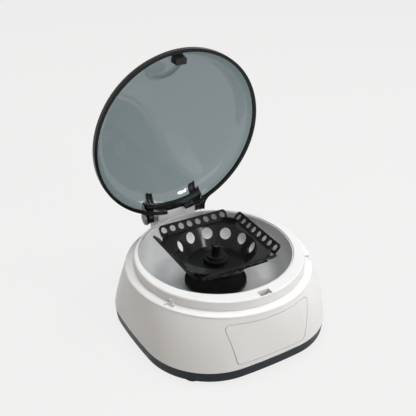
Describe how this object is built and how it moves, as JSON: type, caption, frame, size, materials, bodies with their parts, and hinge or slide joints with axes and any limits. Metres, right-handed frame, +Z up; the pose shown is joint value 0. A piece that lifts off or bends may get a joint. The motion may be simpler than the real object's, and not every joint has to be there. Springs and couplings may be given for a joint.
{
  "type": "mini centrifuge",
  "caption": "Mini centrifuge with an open clear lid, a tube and strip rotor in a round chamber, and a rounded base.",
  "frame": {"origin": "on the table under the middle of the base, level with the feet's undersides", "axes": "+Z up, +Y towards the lid's hinge, -Y towards the latch and the front panel"},
  "size_m": [0.1796, 0.1919, 0.2422],
  "materials": {
    "housing_white": "satin",
    "band_grey": "satin",
    "smoked_clear": "clear smoked",
    "black_plastic": "gloss",
    "black_matte": "matt",
    "black_rubber": "matt",
    "liner_metal": "satin",
    "steel": "brushed",
    "motor_metal": "satin",
    "board_green": "satin",
    "white_nylon": "satin"
  },
  "bodies": {
    "base": {"top_housing": "housing_white", "front_panel": "housing_white", "bottom_tray": "band_grey", "rubber_feet": "black_rubber", "case_screws": "steel", "chamber_liner": "liner_metal", "motor_cover": "black_rubber", "motor_plate": "steel", "plate_screws": "steel", "motor_screws": "steel", "mount_screws": "steel", "rubber_mounts": "black_rubber", "motor": "motor_metal", "latch_keeper": "white_nylon", "catch_spring": "steel", "lid_switch": "black_matte", "hinge_pin": "steel", "hinge_spring": "steel", "circuit_board": "board_green", "board_screws": "steel", "board_parts": "black_matte", "power_inlet": "black_matte", "inlet_nut": "steel", "switch_bezel": "black_matte"},
    "lid": {"lid_dome": "smoked_clear", "lid_rim": "black_plastic", "hinge_bracket": "black_plastic", "latch_tongue": "black_matte"},
    "rotor": {"motor_shaft": "steel", "rotor_cup": "black_plastic", "strip_flange_front": "black_plastic", "strip_flange_right": "black_plastic", "strip_flange_back": "black_plastic", "strip_flange_left": "black_plastic", "rotor_nut": "black_plastic"},
    "catch": {"latch_catch": "white_nylon"},
    "plunger": {"lid_plunger": "white_nylon"},
    "rocker": {"power_rocker": "black_plastic"}
  },
  "joints": [
    {"name": "lid_hinge", "type": "hinge", "parent": "base", "child": "lid", "pos_m": [0, 0.08857, 0.06958], "axis": [1, 0, 0], "range_deg": [0, 84.36]},
    {"name": "rotor_spin", "type": "hinge", "parent": "base", "child": "rotor", "pos_m": [0, 0.005, 0.05], "axis": [0, 0, 1], "continuous": true},
    {"name": "catch_slide", "type": "slide", "parent": "base", "child": "catch", "axis": [1, 0, 0], "range_m": [0, 0.0015], "stiffness_N_per_m": 400, "springref_m": -0.0005, "deforming": ["catch_spring"]},
    {"name": "plunger_slide", "type": "slide", "parent": "base", "child": "plunger", "axis": [0, 0, -1], "range_m": [0, 0.001], "stiffness_N_per_m": 300, "springref_m": -0.0005},
    {"name": "rocker_tilt", "type": "hinge", "parent": "base", "child": "rocker", "pos_m": [-0.02, 0.0788, 0.031], "axis": [1, 0, 0], "range_deg": [-16, 0]}
  ]
}
